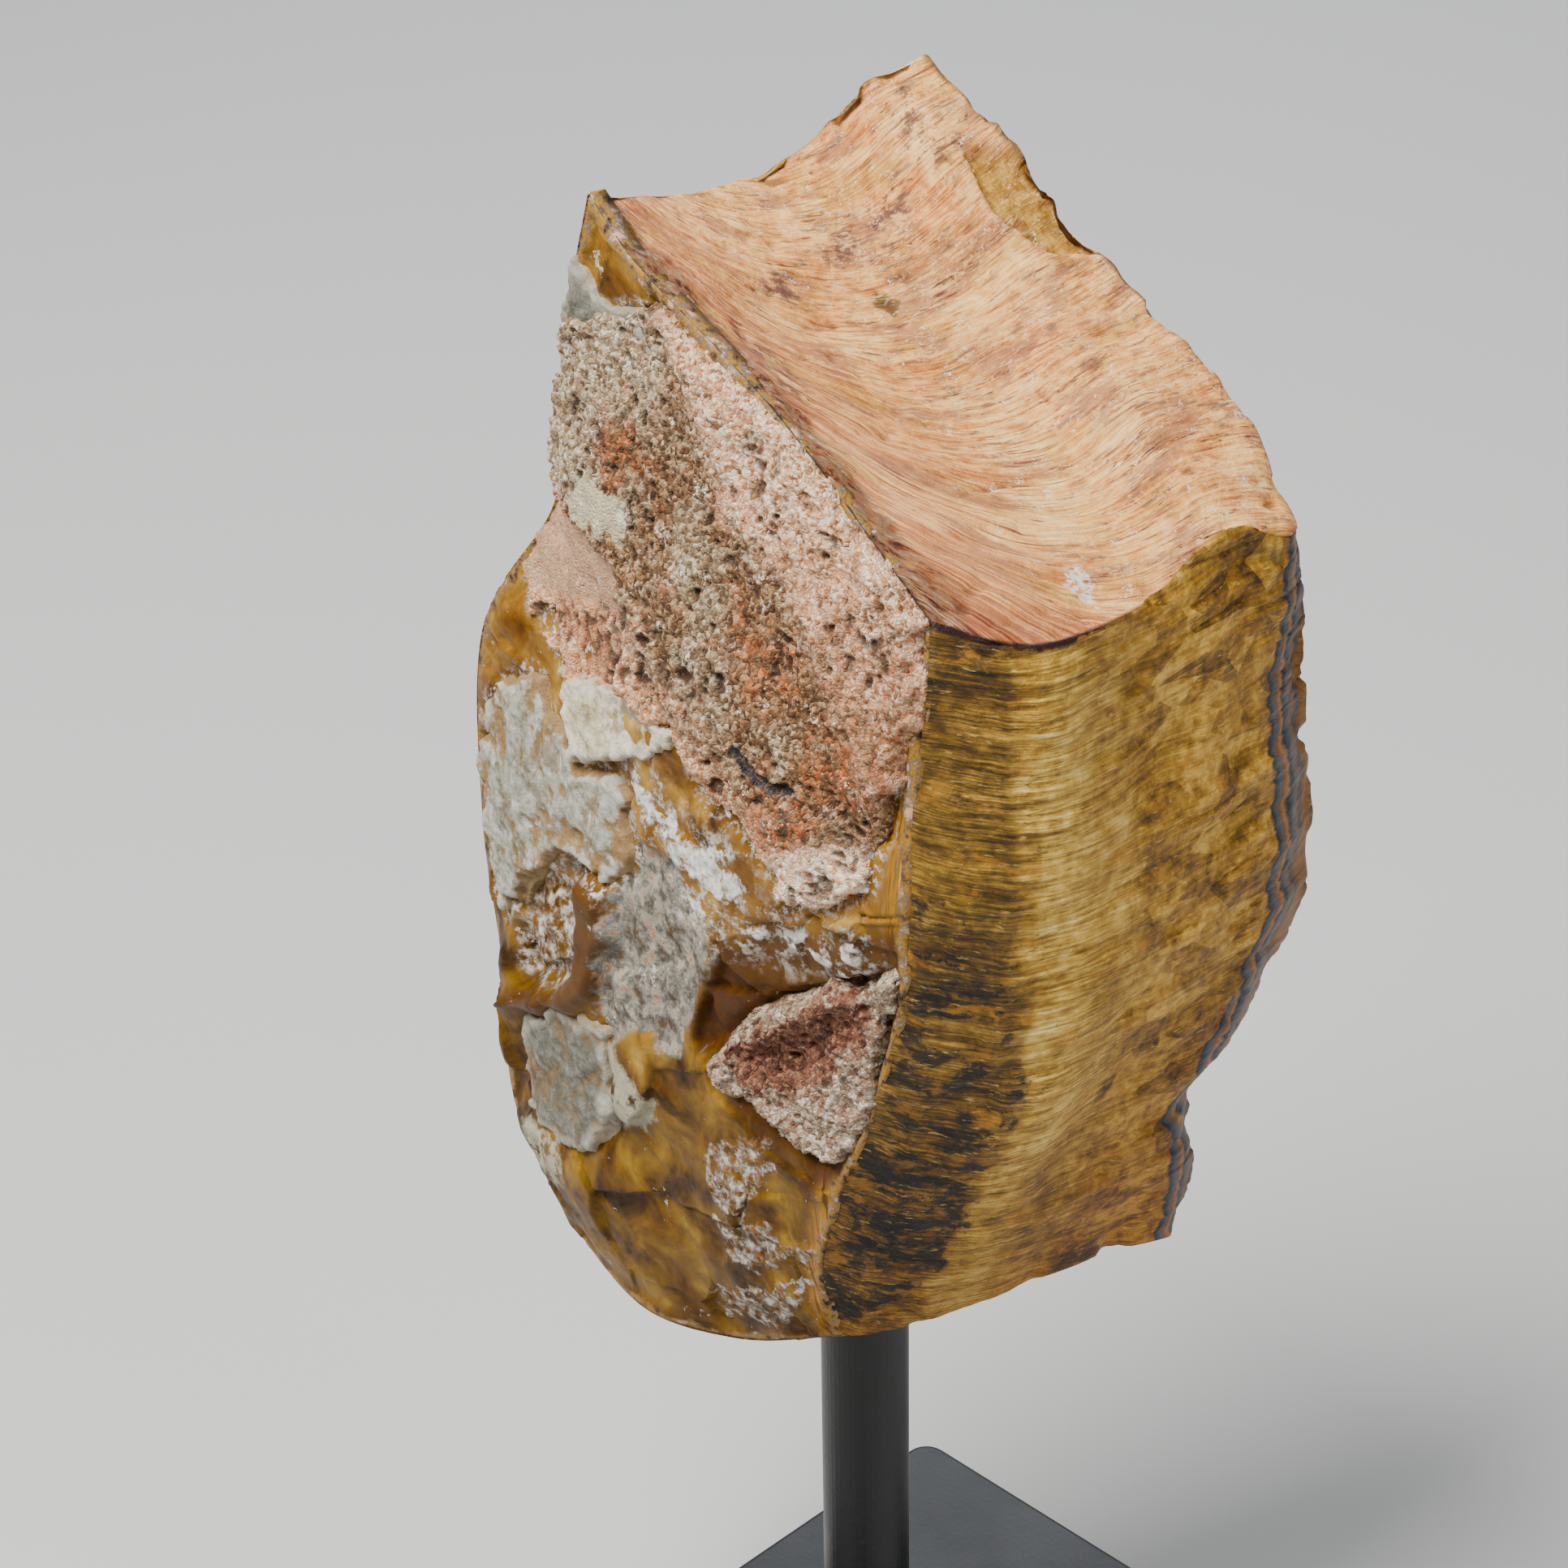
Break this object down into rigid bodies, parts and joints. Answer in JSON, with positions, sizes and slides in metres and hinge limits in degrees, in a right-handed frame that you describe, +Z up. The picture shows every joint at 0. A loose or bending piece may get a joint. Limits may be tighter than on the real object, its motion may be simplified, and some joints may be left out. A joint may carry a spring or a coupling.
{
  "type": "rough tigers eye",
  "caption": "Rough tiger's eye stone with silky fibrous faces and a crusted jasper wall, carried upright on a round rod over a flat plate.",
  "frame": {"origin": "on the plate's underside, on the rod's axis", "axes": "+Z up along the rod, +X along the plate's long side"},
  "size_m": [0.08, 0.0639, 0.1686],
  "materials": {
    "golden_stone": "silky and rough, broken stone",
    "black_satin_rod": "satin black",
    "black_satin_plate": "satin black"
  },
  "bodies": {
    "root": {"stone": "golden_stone", "rod": "black_satin_rod", "base_plate": "black_satin_plate"}
  },
  "joints": []
}
